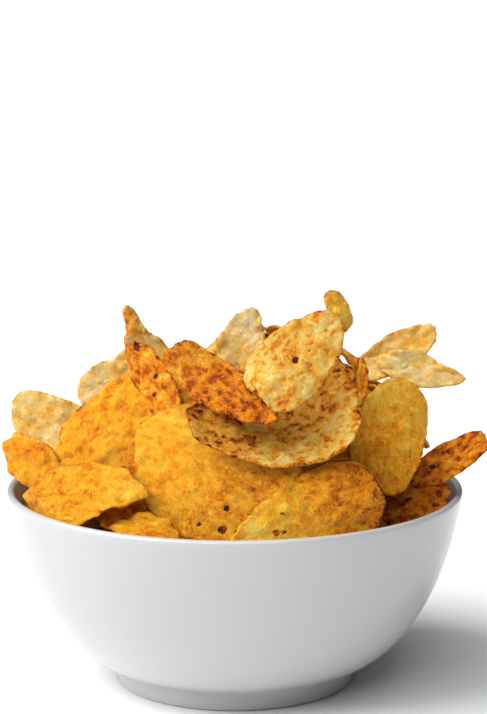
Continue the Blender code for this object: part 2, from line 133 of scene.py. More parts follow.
# The crisps that show from the front, in the order that they are tried
SHOWN = {
    "middle_pale": Crisp(
        (3, -8, 131), (26, 17), (0, 20), 68, (0, 20), (.9, .8, .9, 1.1, 1, 1.1, 1, .8), 15,
    ),
    "middle_back": Crisp((3, -18, 119), (32, 20), (0, 40), -5, (0, -20), seed=16),
    "left_brown": Crisp((-29, -24, 117), (36, 15), (-30, 20), -47, (30, -20), seed=7),
    "right_curled": Crisp((67, -42, 76), (30, 17), (10, 35), 15, (-30, -60), seed=22),
    "left_large": Crisp(
        (-43, -31, 99), (56, 44), (-20, 30), 50, (-35, -30), (1, 1, .92, .95, 1, 1, 1, 1), 3,
    ),
    "hollow_deep": Crisp((-36, -50, 80), (30, 24), (10, 30), 30, (10, 10), seed=24),
    "under_basin": Crisp((39, -44, 91), (36, 20), (10, 45), 0, (-30, -20), seed=20),
    "front_middle": Crisp(
        (-6, -51, 90), (64, 55), (-8, 30), -30, (-35, -30), (.9, 1, 1, 1, 1, 1, 1, .85), 2,
    ),
    "basin": Crisp(
        (15, -42, 106), (65, 44), (5, 40), 12, (70, 50), (.93, 1.18, .87, .85, 1.1, .86, 1, 1.06), 12,
    ),
    "brown_long": Crisp(
        (-3, -43, 119), (51, 19), (-10, 35), -30, (30, -30), (.97, .85, .8, 1.1, 1, 1.1, .95, .9), 11,
    ),
    "mottled_top": Crisp(
        (22, -46, 131), (43, 26), (5, 30), 45, (-20, -30), (1, .9, .93, 1.08, .95, 1.18, 1, .98), 13,
    ),
    "right_large": Crisp(
        (55.5, -28, 98), (42, 28), (8, 20), 80, (-20, -40), (1, .95, 1, 1, 1, 1, 1, 1.2), 19,
    ),
    "front_left": Crisp(
        (-57, -54, 82), (56, 28), (-35, 40), 13, (-40, -30), (.95, 1, 1, 1, 1, 1, .95, .72), 4,
    ),
    "front_sliver": Crisp((-31, -72, 74), (25, 14), (-10, 65), -15, (-20, 10), seed=23),
    "front_right": Crisp(
        (24, -69, 73.5), (64, 36), (8, 18), 25, (-20, -50), (.99, 1.17, .92, .9, .95, .7, .8, 1.03), 1,
    ),
    "left_upright": Crisp(
        (-33, -14, 130), (28, 16), (10, 15), -63, (40, 30), (.9, 1.15, .62, .46, 1.05, .72, 1, .92), 8,
    ),
    "top_tip": Crisp((37, -24, 143), (16, 9), (20, 10), 110, (0, -60), seed=14),
    "right_sliver": Crisp((45, -16, 115), (20, 8), (0, 20), 85, (0, 10), seed=25),
    "left_pale_high": Crisp((-38, 2, 116), (24, 18), (0, 20), 60, (20, 10), seed=10),
    "left_pale_low": Crisp((-47, 8, 110), (26, 18), (-10, 20), 20, (20, 10), seed=9),
    "far_left_low": Crisp(
        (-75, -22, 88), (28, 18), (-30, 25), -20, (-30, -20), (1, 1, .9, 1, 1.05, .9, 1, 1), 6,
    ),
    "far_left_pale": Crisp(
        (-67, -5, 98), (36, 22), (-25, 10), -10, (30, 20), (1.1, 1, .9, 1.1, 1, 1, 1, 1), 5,
    ),
    "right_pale_high": Crisp((60, 6, 122), (38, 14), (-10, 20), 33, (10, 30), seed=17),
    "right_pale_low": Crisp(
        (69, 12, 115), (32, 14), (0, 20), -12, (20, 10), (1.1, .75, .9, 1, 1, 1, 1, .9), 18,
    ),
    "right_over_rim": Crisp((78, -16, 86), (36, 14), (-10, 40), 37, (10, 20), seed=21),
}


@dataclass
class Ring:
    """A ring of crisps laid by rule: how many, and about where each starts before it slides inward."""

    count: int
    radius: float
    height: float
    tilt: float
    length: float


RINGS = (
    Ring(18, 72.0, 68.0, 45.0, 40.0),
    Ring(14, 66.0, 84.0, 50.0, 44.0),
    Ring(10, 46.0, 102.0, 60.0, 44.0),
    Ring(6, 20.0, 118.0, 72.0, 40.0),
    Ring(13, 80.0, 92.0, 38.0, 52.0),
    Ring(9, 66.0, 108.0, 45.0, 52.0),
    Ring(5, 36.0, 126.0, 55.0, 46.0),
)
RINGS_SEED = 46
TRIES = 20
MOST_PRESSED = 3.0
FARTHEST_REACH = 90.0
INWARD_DROP = 0.8

# How unevenly a crisp is laid by rule: shares of its ring's spacing, radius and length and of its own
# length, then millimetres, then degrees
PLACE_SHIFT = (-0.4, 0.4)
RADIUS_SHARE = (0.8, 1.05)
LENGTH_SHARE = (0.8, 1.2)
WIDTH_SHARE = (0.62, 0.85)
HEIGHT_SHIFT = (-6, 6)
FACE_SHIFT = (-25, 25)
TILT_SHIFT = (-20, 15)
CURL_ALONG = (-50, 55)
CURL_ACROSS = (-40, 45)

# The outline of the heap against the sky as the front sees it: heights at places from left to right
SKYLINE_X = (-90.0, -75.0, -55.0, -40.0, -20.0, 0.0, 30.0, 45.0, 60.0, 70.0, 75.0, 95.0)
SKYLINE_Z = (80.0, 100.0, 112.0, 122.0, 124.0, 134.0, 134.0, 122.0, 118.0, 108.0, 90.0, 84.0)

# Fine crisps: how many rings and sides each has, then how thick and how uneven it is
FINE_SHOWN = (25, 116)
FINE_RING = (12, 56)
FINE_BIT = (7, 36)
RING_CROWDING = 0.75
REAL_THICKNESS = 1.2
EDGE_TAPER = 0.8
EDGE_THINNEST = 0.08
RAGGED = 0.045
RAGGED_SEED = 900
RAGGED_FALL = 0.8
RIPPLE = 0.5
BLISTER_SPACING = 4.0
BLISTER_RADIUS = (1.0, 2.8)
BLISTER_HEIGHT = (0.12, 0.34)
BLISTER_SKIRT = 1.5
BLISTER_SEED = 300
MOST_CRINKLED = 1.2
BURN_SKIRT = 2.0
PATTERN_STEP = (31, 17)
PATTERN_SIDES = 40.0

# Broken bits, which are tried until this many are laid or the tries run out
BITS = 110
BIT_TRIES = 12 * BITS
BITS_SEED = 5
BIT_RADIUS = (10, 78)
BIT_HEIGHT = (66, 126)
BIT_TILT = (35, 70)
BIT_LENGTH = (18, 34)

# How a crisp laid by rule is fried: the kinds and how common each is, then ranges
LOOK_SEED = 77
RULE_KINDS = ("golden", "mottled", "pale", "brown")
RULE_SHARES = (50, 20, 18, 12)
BURN_COUNTS = (0, 0, 1, 2, 4)
BURN_PLACE = (-0.4, 0.4)
BURN_RADIUS = (0.5, 1.1)
TOAST = (0.3, 0.52)
CRINKLE = (0.3, 0.9)
TOAST_SLOPE = (-0.15, 0.15)


@dataclass
class Look:
    """How a crisp is fried: its kind, how brown and how crinkled it is, how much browner it gets along
    and across (both partly painted shade on some crisps), how much more crinkled along, and its
    burnt spots as (along, across, radius) in mm."""

    kind: str
    toast_and_shade: float
    crinkle: float = 0.5
    toast_and_shade_slope: tuple = (0.0, 0.0)
    crinkle_slope: float = 0.0
    burns: tuple = ()


LOOKS = {
    "middle_pale": Look("pale", 0.3, 0.3, (-0.16, 0.0)),
    "middle_back": Look("golden", 0.46, 0.5),
    "left_brown": Look("brown", 0.38, 0.7, burns=((-15, 2, 1.5), (-1, 2, 1.0), (4, -2, 0.8))),
    "right_curled": Look("brown", 0.6, 0.8),
    "left_large": Look("golden", 0.48, 0.4),
    "hollow_deep": Look("brown", 0.4, 0.5),
    "under_basin": Look("golden", 0.4, 0.6),
    "front_middle": Look(
        "golden", 0.46, 0.6, (0.12, 0.0), 0.45,
        ((10, -9, 0.9), (13, -16, 1.4), (18, -14, 0.9), (5, -19, 0.8), (-2, 3, 0.6)),
    ),
    # The hollow is browner across towards its inside: painted shade, the shadow that mottled_top casts into
    # it
    "basin": Look("mottled", 0.6, 1.0, (-0.06, 0.24), -0.2),
    "brown_long": Look("brown", 0.46, 1.1, (0.1, 0.0)),
    "mottled_top": Look("mottled", 0.36, 0.7, burns=((-2, -1, 1.1), (4, -2, 0.5))),
    "right_large": Look("golden", 0.4, 0.9, (-0.2, 0.0)),
    "front_left": Look("golden", 0.46, 0.6, (-0.1, 0.0), -0.3),
    "front_sliver": Look("golden", 0.5, 0.6),
    # Browner towards its right end: painted shade on the part that turns away from the key light
    "front_right": Look(
        "golden", 0.38, 0.6, (0.36, 0.0), 0.3, ((-9, 3, 1.1), (-6.5, 2, 0.7), (-4, 8, 0.6))
    ),
    "left_upright": Look("pale", 0.46, 0.5, (-0.16, 0.0)),
    "top_tip": Look("green", 0.4, 0.5),
    "right_sliver": Look("brown", 0.35, 0.6),
    "left_pale_high": Look("pale", 0.26, 0.3),
    "left_pale_low": Look("pale", 0.32, 0.4),
    "far_left_low": Look("golden", 0.5, 0.4),
    "far_left_pale": Look("pale", 0.38, 0.5),
    "right_pale_high": Look("pale", 0.4, 0.4),
    "right_pale_low": Look("pale", 0.32, 0.3),
    "right_over_rim": Look("brown", 0.46, 0.8, burns=((-6, 1, 1.0),)),
}


@dataclass
class Kind:
    """The colours of a kind of crisp from pale to burnt, as sRGB, and how its surface varies: how
    much its patches and its cells show, and how wide a cell is in mm."""

    tones: tuple
    patches: float
    cells: float
    cell_size: float


KINDS = {
    "golden": Kind(
        ((255, 220, 108), (255, 194, 56), (250, 168, 24), (226, 128, 10), (160, 72, 5), (58, 20, 3)),
        0.19, 0.2, 3.0,
    ),
    "mottled": Kind(
        ((255, 224, 140), (255, 208, 104), (252, 180, 52), (234, 138, 18), (182, 80, 6), (66, 24, 4)),
        0.32, 0.4, 2.8,
    ),
    "brown": Kind(
        ((255, 202, 80), (252, 168, 28), (234, 132, 12), (188, 88, 8), (124, 48, 4), (50, 16, 3)),
        0.22, 0.36, 2.6,
    ),
    "pale": Kind(
        ((255, 230, 182), (255, 218, 144), (255, 200, 92), (252, 164, 38), (200, 100, 14), (84, 36, 6)),
        0.24, 0.2, 3.0,
    ),
    "green": Kind(
        ((255, 220, 106), (248, 200, 70), (236, 178, 44), (200, 134, 24), (134, 84, 12), (60, 34, 6)),
        0.25, 0.2, 2.4,
    ),
}
TONE_PLACES = (0.0, 0.2, 0.45, 0.68, 0.86, 1.0)
# Dark brown for the heap's deep inside: painted shade for the gaps between the crisps, with lighter brown
# lumps
CRUMB_AND_SHADE_TONES = ((70, 30, 6), (196, 112, 20))
# The white glaze painted grey: painted shade that keeps the bowl dim under lights set bright for the crisps
SHADED_GLAZE_TONES = ((179, 180, 182), (187, 188, 189))

# Light and camera
KEY_FROM = (-1.0, -0.25, 0.95)
KEY_STRENGTH = 4.2
SUN_SPREAD = 1.0
FILL_FROM = (-0.15, -0.6, 1.0)
FILL_STRENGTH = 1.7
ROOM_STRENGTH = 0.08
FLOOR_SIZE = 16.0
FLOOR_DROP = 0.0002
CAMERA_ELEVATION = math.radians(10.3)
CAMERA_DISTANCE = 0.9
CAMERA_AIM = Vector((0.0032, 0.0, 0.122))
CAMERA_LENS = 122.5
SENSOR = 36.0


# Bowl


def bezier(points, t):
    """The point at t on a cubic curve, and its direction of travel."""
    a, b, c, d = (np.array(p) for p in points)
    s = 1 - t
    point = s**3 * a + 3 * s * s * t * b + 3 * s * t * t * c + t**3 * d
    along = 3 * (s * s * (b - a) + 2 * s * t * (c - b) + t * t * (d - c))
    return point, along / np.linalg.norm(along)


def wall_points(steps=WALL_STEPS):
    """The outer wall from the foot to the lip, and the inner wall beside it, as (radius, height)."""
    outer, inner = [], []
    for i in range(steps + 1):
        t = i / steps
        point, along = bezier(WALL_CURVE, t)
        inward = np.array((-along[1], along[0]))
        outer.append(point)
        inner.append(point + inward * (WALL_AT_FOOT + (LIP_THICKNESS - WALL_AT_FOOT) * t))
    return outer, inner


def floor_height():
    return RECESS_DEPTH + FLOOR_THICKNESS


def inside_profile(steps=WALL_STEPS):
    """The bowl's floor from its middle, and its inner wall from there to the lip, as (radius, height)."""
    _, inner = wall_points(steps)
    wall = [p for p in inner if p[1] > floor_height() + FLOOR_CORNER_HEIGHT]
    start = np.array((0.0, floor_height()))
    corner = np.array((wall[0][0] - (wall[0][1] - start[1]) * FLOOR_CORNER_REACH, floor_height()))
    floor = []
    for t in FLOOR_STEPS:
        floor.append((1 - t) ** 2 * start + 2 * t * (1 - t) * corner + t * t * wall[0])
    return floor, wall


def bowl_profile():
    outer, inner = wall_points(FINE_WALL_STEPS)
    floor, wall = inside_profile(FINE_WALL_STEPS)
    middle = (outer[-1] + inner[-1]) / 2
    angles = [math.pi * i / FINE_LIP_STEPS for i in range(1, FINE_LIP_STEPS)]
    lip = [middle + LIP_THICKNESS / 2 * np.array((math.cos(a), math.sin(a))) for a in angles]
    foot = [
        (0.0, RECESS_DEPTH),
        (FOOT_RADIUS - FOOT_WIDTH - RECESS_SLOPE, RECESS_DEPTH),
        (FOOT_RADIUS - FOOT_WIDTH, FOOT_ROUNDING),
        (FOOT_RADIUS - FOOT_WIDTH + FOOT_ROUNDING, 0.0),
        (FOOT_RADIUS - FOOT_ROUNDING, 0.0),
        (FOOT_RADIUS, FOOT_ROUNDING),
        (FOOT_RADIUS + FOOT_FLARE, FOOT_HEIGHT * 0.6),
    ]
    return foot + outer + lip + wall[::-1] + floor[::-1]


def turned(profile, segments):
    """A closed solid turned about Z from a profile that starts and ends on the axis."""
    shape = bmesh.new()
    points = [shape.verts.new((r * MM, 0.0, z * MM)) for r, z in profile]
    edges = [shape.edges.new(pair) for pair in zip(points, points[1:])]
    bmesh.ops.spin(
        shape, geom=points + edges, cent=(0, 0, 0), axis=(0, 0, 1), angle=math.tau, steps=segments
    )
    bmesh.ops.remove_doubles(shape, verts=shape.verts, dist=1e-6)
    bmesh.ops.recalc_face_normals(shape, faces=shape.faces)
    return shape


def inside_radius(height):
    """How far from the axis the heap may reach at a height, in mm."""
    _, wall = inside_profile()
    return np.interp(height, [p[1] for p in wall], [p[0] for p in wall]) - WALL_GAP


# Crisps


def outline(angles, crisp):
    """The outline's radius at each angle, as shares of the ellipse: the rim's shares with a smooth
    curve through them, and a little seeded unevenness."""
    shares = np.array(crisp.rim, float)
    place = angles / math.tau * len(shares)
    low = np.floor(place).astype(int)
    part = place - low
    before, here, after, beyond = (shares[(low + k) % len(shares)] for k in (-1, 0, 1, 2))
    squared = 2 * before - 5 * here + 4 * after - beyond
    cubed = 3 * (here - after) + beyond - before
    curve = here + 0.5 * part * (after - before + part * (squared + part * cubed))
    draw = random.Random(crisp.seed)
    for wave in OUTLINE_WAVES:
        size = OUTLINE_WOBBLE * draw.gauss(0, 1) * 2 / wave
        curve = curve + size * np.cos(wave * angles + draw.uniform(0, math.tau))
    return curve


def bent_line(lengths, half, total):
    """Points at these lengths along a line bent by a total angle, and its slope there."""
    samples = np.linspace(-BEND_REACH, BEND_REACH, BEND_SAMPLES)
    slope = math.radians(total) / 2 * samples
    middle = (slope[1:] + slope[:-1]) / 2
    width = samples[1] - samples[0]
    x = np.concatenate([[0], np.cumsum(np.cos(middle))]) * width
    z = np.concatenate([[0], np.cumsum(np.sin(middle))]) * width
    x -= x[len(samples) // 2]
    z -= z[len(samples) // 2]
    at = lengths / half
    return np.interp(at, samples, x) * half, np.interp(at, samples, z) * half, np.interp(at, samples, slope)


def face_axes(crisp):
    """The directions of the crisp's length, its width and its face."""
    azimuth, elevation = (math.radians(a) for a in crisp.face)
    level = Vector((math.cos(azimuth), math.sin(azimuth), 0.0))
    outward = Vector((math.sin(azimuth), -math.cos(azimuth), 0.0))
    face = math.cos(elevation) * outward + Vector((0.0, 0.0, math.sin(elevation)))
    up = face.cross(level)
    spin = math.radians(crisp.spin)
    length = math.cos(spin) * level + math.sin(spin) * up
    width = math.cos(spin) * up - math.sin(spin) * level
    return length, width, face


def flat_places(crisp, radii, angles, ragged=0.0):
    """Where polar places on the crisp lie when it is flat, in mm along and across it."""
    edge = outline(angles, crisp)
    if ragged:
        draw = random.Random(crisp.seed + RAGGED_SEED)
        for wave in RAGGED_WAVES:
            size = ragged * draw.gauss(0, 1) / wave**RAGGED_FALL
            edge = edge + size * np.cos(wave * angles + draw.uniform(0, math.tau))
    along = radii * edge * np.cos(angles) * crisp.size[0] / 2
    across = radii * edge * np.sin(angles) * crisp.size[1] / 2
    return along, across


def crisp_surface(crisp, radii, angles, ragged=0.0):
    """Points of the crisp's middle surface, in mm, at polar places on it (0 middle, 1 edge)."""
    half_length, half_width = crisp.size[0] / 2, crisp.size[1] / 2
    along, across = flat_places(crisp, radii, angles, ragged)
    y, rise, _ = bent_line(across, half_width, crisp.curl[1])
    draw = random.Random(crisp.seed + WAVE_SEED)
    for wave in SHEET_WAVES:
        size = EDGE_WAVE * draw.uniform(0.3, 1) * 2 / wave
        rise = rise + size * radii**3 * np.sin(wave * angles + draw.uniform(0, math.tau))
    if ragged:
        for wave in RIPPLE_WAVES:
            size = RIPPLE * draw.uniform(0.2, 1)
            rise = rise + size * radii**4 * np.sin(wave * angles + draw.uniform(0, math.tau))
    x, z, slope = bent_line(along, half_length, crisp.curl[0])
    x = x - rise * np.sin(slope)
    z = z + rise * np.cos(slope)
    length, width, face = (np.array(v) for v in face_axes(crisp))
    return np.array(crisp.at, float) + np.outer(x, length) + np.outer(y, width) + np.outer(z, face)


def pressed_in(points):
    """How far the bowl presses each point in, in mm: out of its wall, and less and less above its lip."""
    radius = np.hypot(points[:, 0], points[:, 1])
    limit = inside_radius(points[:, 2]) - CRISP_THICKNESS / 2
    share = np.clip(1 - (points[:, 2] - BOWL_HEIGHT - WALL_GAP) / PRESSED_ABOVE_LIP, 0.0, 1.0)
    return np.maximum(radius - limit, 0.0) * share


def kept_in_bowl(points):
    """The points, each moved towards the axis by as much as the bowl presses it in."""
    radius = np.maximum(np.hypot(points[:, 0], points[:, 1]), 1e-6)
    share = 1 - pressed_in(points) / radius
    return points * np.stack([share, share, np.ones(len(points))], axis=1)


def disc(rings, segments):
    """A flat disc of triangles in rings, with a radius of 1."""
    shape = bmesh.new()
    bmesh.ops.create_circle(shape, cap_ends=True, cap_tris=True, segments=segments, radius=1 / rings)
    for ring in range(2, rings + 1):
        border = [e for e in shape.edges if e.is_boundary]
        grown = bmesh.ops.extrude_edge_only(shape, edges=border)
        new = [v for v in grown["geom"] if isinstance(v, bmesh.types.BMVert)]
        bmesh.ops.scale(shape, vec=(ring / (ring - 1),) * 3, verts=new)
    bmesh.ops.triangulate(shape, faces=shape.faces)
    bmesh.ops.recalc_face_normals(shape, faces=shape.faces)
    return shape


def crisp_sheet(crisp):
    """The crisp's middle surface as a bmesh, in metres, and how far it was pressed in by the bowl."""
    shape = disc(*crisp.detail)
    flat = np.array([v.co[:2] for v in shape.verts])
    radii, angles = np.hypot(flat[:, 0], flat[:, 1]), np.arctan2(flat[:, 1], flat[:, 0])
    points = crisp_surface(crisp, radii, angles % math.tau)
    for vert, point in zip(shape.verts, kept_in_bowl(points)):
        vert.co = Vector(point) * MM
    return shape, pressed_in(points).max()


def crisp_tree(crisp):
    return tree_of(crisp_sheet(crisp)[0])


def tree_of(shape):
    tree = BVHTree.FromBMesh(shape)
    shape.free()
    return tree


def moved(crisp, direction, distance):
    return replace(crisp, at=tuple(a + d * distance for a, d in zip(crisp.at, direction)))


def touches(crisp, trees):
    mine = crisp_tree(crisp)
    return any(mine.overlap(tree) for tree in trees)


def slid_to_rest(crisp, direction, trees):
    """The crisp moved along a direction to the last place before it meets what lies there, or back
    out along it if it starts inside. None if it meets nothing or can't get free."""
    step = -STEP if touches(crisp, trees) else STEP
    distance = 0.0
    while abs(distance) < LONGEST_SLIDE:
        distance += step
        touching = touches(moved(crisp, direction, distance), trees)
        if step < 0 and not touching:
            return moved(crisp, direction, distance)
        if step > 0 and touching:
            return moved(crisp, direction, distance - step)
    return None


def slid_to_nearest(crisp, direction, trees):
    """The crisp moved either way along a direction, to whatever it meets first. None if nothing."""
    found = [slid_to_rest(crisp, way, trees) for way in (direction, -direction)]
    found = [rested for rested in found if rested]
    return min(found, key=lambda rested: (Vector(rested.at) - Vector(crisp.at)).length, default=None)


def ring_places():
    """Angles round the heap, from the front towards +X, each with its ring."""
    for ring in RINGS:
        for i in range(ring.count):
            yield 360.0 * (i + 0.5) / ring.count, ring


def drawn_crisp(azimuth, ring, draw):
    """A crisp near its place in a ring, with seeded unevenness, and the way that it slides."""
    azimuth += draw.uniform(*PLACE_SHIFT) * 360.0 / ring.count
    turn = math.radians(azimuth)
    radius = ring.radius * draw.uniform(*RADIUS_SHARE)
    length = ring.length * draw.uniform(*LENGTH_SHARE)
    crisp = Crisp(
        (radius * math.sin(turn), -radius * math.cos(turn), ring.height + draw.uniform(*HEIGHT_SHIFT)),
        (length, length * draw.uniform(*WIDTH_SHARE)),
        (azimuth + draw.uniform(*FACE_SHIFT), ring.tilt + draw.uniform(*TILT_SHIFT)),
        draw.uniform(0, 180),
        (draw.uniform(*CURL_ALONG), draw.uniform(*CURL_ACROSS)),
        seed=draw.randrange(1000),
        detail=RING_DETAIL,
    )
    inward = Vector((-math.sin(turn), math.cos(turn), -INWARD_DROP)).normalized()
    return crisp, inward


def out_of_the_way(crisp, shown_trees):
    """Whether the crisp fits the bowl, and the front sees it neither over the heap's outline nor
    before a crisp that shows."""
    sight = Vector(LINE_OF_SIGHT)
    shape, pressed = crisp_sheet(crisp)
    if pressed > MOST_PRESSED:
        return False
    for vert in shape.verts:
        x, y, z = vert.co / MM
        if math.hypot(x, y) > FARTHEST_REACH:
            return False
        if z - y * sight.z > np.interp(x, SKYLINE_X, SKYLINE_Z):
            return False
        if any(tree.ray_cast(vert.co, sight)[0] for tree in shown_trees):
            return False
    return True


def lay_heap(core_tree):
    """Every crisp of the heap at rest, by name, with the trees of all that is laid and of the crisps
    that show. Those that show are laid first where something behind them holds them, then the rings
    by rule, then those that wait for these to hold them."""
    trees = [core_tree]
    laid = {}
    sight = Vector(LINE_OF_SIGHT)

    def lay(name, crisp):
        laid[name] = crisp
        trees.append(crisp_tree(crisp))

    waiting = {}
    for name, crisp in SHOWN.items():
        rested = slid_to_rest(crisp, sight, trees)
        if rested:
            lay(name, rested)
        else:
            waiting[name] = crisp
    waiting_trees = [crisp_tree(crisp) for crisp in waiting.values()]
    shown_trees = trees[1:] + waiting_trees
    draw = random.Random(RINGS_SEED)
    for number, (azimuth, ring) in enumerate(ring_places()):
        for _ in range(TRIES):
            crisp, inward = drawn_crisp(azimuth, ring, draw)
            rested = None if touches(crisp, trees) else slid_to_rest(crisp, inward, trees)
            if rested and out_of_the_way(rested, shown_trees) and not touches(rested, waiting_trees):
                lay(f"ring_{number}", rested)
                break
    for name, crisp in waiting.items():
        rested = slid_to_nearest(crisp, sight, trees)
        if not rested:
            raise ValueError(f"nothing holds {name}")
        lay(name, rested)
    return laid, trees, shown_trees


def core_shape():
    """The heap's core: the inside of the bowl up to its edge height, under a lumpy dome."""
    draw = random.Random(CORE_SEED)
    floor, wall = inside_profile()
    inside = [p for p in floor + wall if p[1] < CORE_EDGE_HEIGHT - CORE_SIDE_BELOW_EDGE]
    side = [(max(p[0] - WALL_GAP, 0.0), p[1] + WALL_GAP) for p in inside[::2]]
    side.append((inside_radius(CORE_EDGE_HEIGHT), CORE_EDGE_HEIGHT))
    edge_radius = side[-1][0]
    rise = CORE_TOP_HEIGHT - CORE_EDGE_HEIGHT
    dome = []
    for i in range(1, CORE_RINGS):
        angle = math.pi / 2 * i / CORE_RINGS
        radius = edge_radius * math.cos(angle) ** CORE_SHAPE
        dome.append((radius, CORE_EDGE_HEIGHT + rise * math.sin(angle)))
    shape = turned(side + dome + [(0.0, CORE_TOP_HEIGHT)], CORE_SEGMENTS)
    for vert in shape.verts:
        share = (vert.co.z / MM - CORE_EDGE_HEIGHT) / rise
        if share > 0.01:
            vert.co.y += CORE_LEAN * share * MM
            vert.co.z += draw.uniform(-1, 1) * CORE_LUMPS * MM
    bmesh.ops.triangulate(shape, faces=shape.faces)
    bmesh.ops.recalc_face_normals(shape, faces=shape.faces)
    return shape


# Fine crisps


def random_bits(trees, shown_trees):
    """Small crisps and broken bits that fill the gaps between the large ones, down to the core."""
    draw = random.Random(BITS_SEED)
    bits = []
    for _ in range(BIT_TRIES):
        if len(bits) == BITS:
            break
        ring = Ring(1, *(draw.uniform(*span) for span in (BIT_RADIUS, BIT_HEIGHT, BIT_TILT, BIT_LENGTH)))
        crisp, inward = drawn_crisp(draw.uniform(0, 360), ring, draw)
        rested = None if touches(crisp, trees) else slid_to_rest(crisp, inward, trees)
        if rested and out_of_the_way(rested, shown_trees):
            bits.append(rested)
            trees.append(crisp_tree(rested))
    return bits


def rule_look(crisp):
    """The look of a crisp laid by rule, from its seed."""
    draw = random.Random(crisp.seed + LOOK_SEED)
    kind = draw.choices(RULE_KINDS, RULE_SHARES)[0]
    burns = []
    for _ in range(draw.choice(BURN_COUNTS)):
        x = draw.uniform(*BURN_PLACE) * crisp.size[0]
        y = draw.uniform(*BURN_PLACE) * crisp.size[1]
        burns.append((x, y, draw.uniform(*BURN_RADIUS)))
    toast_and_shade, crinkle, slope = (draw.uniform(*span) for span in (TOAST, CRINKLE, TOAST_SLOPE))
    return Look(kind, toast_and_shade, crinkle, (slope, 0.0), burns=tuple(burns))


def blisters(along, across, crisp, draw):
    """How far blisters and dimples raise the surface at each place, in mm."""
    raised = np.zeros(len(along))
    count = int(crisp.size[0] * crisp.size[1] / BLISTER_SPACING**2)
    for _ in range(count):
        x = draw.uniform(-0.5, 0.5) * crisp.size[0]
        y = draw.uniform(-0.5, 0.5) * crisp.size[1]
        radius = draw.uniform(*BLISTER_RADIUS)
        height = draw.choice((1, 1, -1)) * draw.uniform(*BLISTER_HEIGHT) * radius
        away = (along - x) ** 2 + (across - y) ** 2
        near = np.clip(1 - away / (radius * BLISTER_SKIRT) ** 2, 0, 1)
        raised += height * near**2
    return raised


def grid_normals(points, rings, segments):
    """Unit normals of a polar grid of points: the middle first, then ring after ring."""
    rows = points[1:].reshape(rings, segments, 3)
    outward = np.gradient(rows, axis=0)
    around = (np.roll(rows, -1, axis=1) - np.roll(rows, 1, axis=1)) / 2
    normals = np.cross(outward, around)
    normals /= np.linalg.norm(normals, axis=2, keepdims=True)
    middle = normals[0].mean(axis=0)
    return np.vstack([middle / np.linalg.norm(middle), normals.reshape(-1, 3)])


def grid_faces(rings, segments, start, turned_over):
    """Quads of one polar grid, with triangles round its middle."""
    faces = []
    for j in range(segments):
        k = (j + 1) % segments
        faces.append((start, start + 1 + j, start + 1 + k))
        for i in range(rings - 1):
            a, b = start + 1 + i * segments, start + 1 + (i + 1) * segments
            faces.append((a + j, b + j, b + k, a + k))
    return [face[::-1] for face in faces] if turned_over else faces


class CrispMesh:
    """Collects the crisps of one kind in one mesh."""

    def __init__(self):
        self.points, self.faces = [], []
        self.flat, self.edge, self.toast_and_shade, self.crinkle, self.burn = [], [], [], [], []
        self.count = 0

    def add(self, crisp, look, rings, segments):
        steps = (np.arange(1, rings + 1) / rings) ** RING_CROWDING
        radii = np.concatenate([[0.0], np.repeat(steps, segments)])
        angles = np.concatenate([[0.0], np.tile(np.arange(segments) * math.tau / segments, rings)])
        along, across = flat_places(crisp, radii, angles, RAGGED)
        middle = crisp_surface(crisp, radii, angles, RAGGED)
        draw = random.Random(crisp.seed + BLISTER_SEED)
        middle += grid_normals(middle, rings, segments) * blisters(along, across, crisp, draw)[:, None]
        middle = kept_in_bowl(middle)
        normals = grid_normals(middle, rings, segments)
        reach = np.hypot(along, across)
        rim = np.concatenate([[reach[-segments:].mean()], np.tile(reach[-segments:], rings)])
        to_edge = rim * (1 - radii)
        taper = np.clip(to_edge / EDGE_TAPER + EDGE_THINNEST, EDGE_THINNEST, 1)
        half = REAL_THICKNESS / 2 * np.sqrt(taper)
        burn = np.zeros(len(along))
        for x, y, radius in look.burns:
            burn = np.maximum(burn, 1 - np.hypot(along - x, across - y) / (BURN_SKIRT * radius))
        end, side_end = along / (crisp.size[0] / 2), across / (crisp.size[1] / 2)
        # Browner along and across; on some crisps this slope is painted shade
        toast_and_shade = look.toast_and_shade + look.toast_and_shade_slope[0] * end + look.toast_and_shade_slope[1] * side_end
        crinkle = np.clip(look.crinkle + look.crinkle_slope * end, 0, MOST_CRINKLED)
        pattern = (along + crisp.seed * PATTERN_STEP[0], across + crisp.seed * PATTERN_STEP[1])
        size = len(along)
        for side, other in ((1, 0), (-1, 1)):
            self.points.append(middle + side * normals * half[:, None])
            self.faces += grid_faces(rings, segments, self.count + other * size, side < 0)
            self.flat.append(np.stack([*pattern, np.full(size, side * PATTERN_SIDES)], axis=1))
            self.edge.append(to_edge)
            self.toast_and_shade.append(toast_and_shade)
            self.crinkle.append(crinkle)
            self.burn.append(burn)
        front, back = self.count + size - segments, self.count + 2 * size - segments
        for j in range(segments):
            k = (j + 1) % segments
            self.faces.append((front + j, back + j, back + k, front + k))
        self.count += 2 * size

    def build(self, name, finish):
        mesh = bpy.data.meshes.new(name)
        mesh.from_pydata(np.vstack(self.points) * MM, [], self.faces)
        flat = mesh.attributes.new("flat", "FLOAT_VECTOR", "POINT")
        flat.data.foreach_set("vector", np.vstack(self.flat).ravel())
        fields = {"edge": self.edge, "toast_and_shade": self.toast_and_shade, "crinkle": self.crinkle, "burn": self.burn}
        for label, values in fields.items():
            mesh.attributes.new(label, "FLOAT", "POINT").data.foreach_set("value", np.concatenate(values))
        mesh.shade_smooth()
        mesh.update()
        return placed(name, mesh, finish)


# Materials


def linear(tone):
    """An sRGB colour of 0 to 255 as linear light."""
    shares = [c / 255 for c in tone]
    return tuple(s / 12.92 if s <= 0.04045 else ((s + 0.055) / 1.055) ** 2.4 for s in shares)


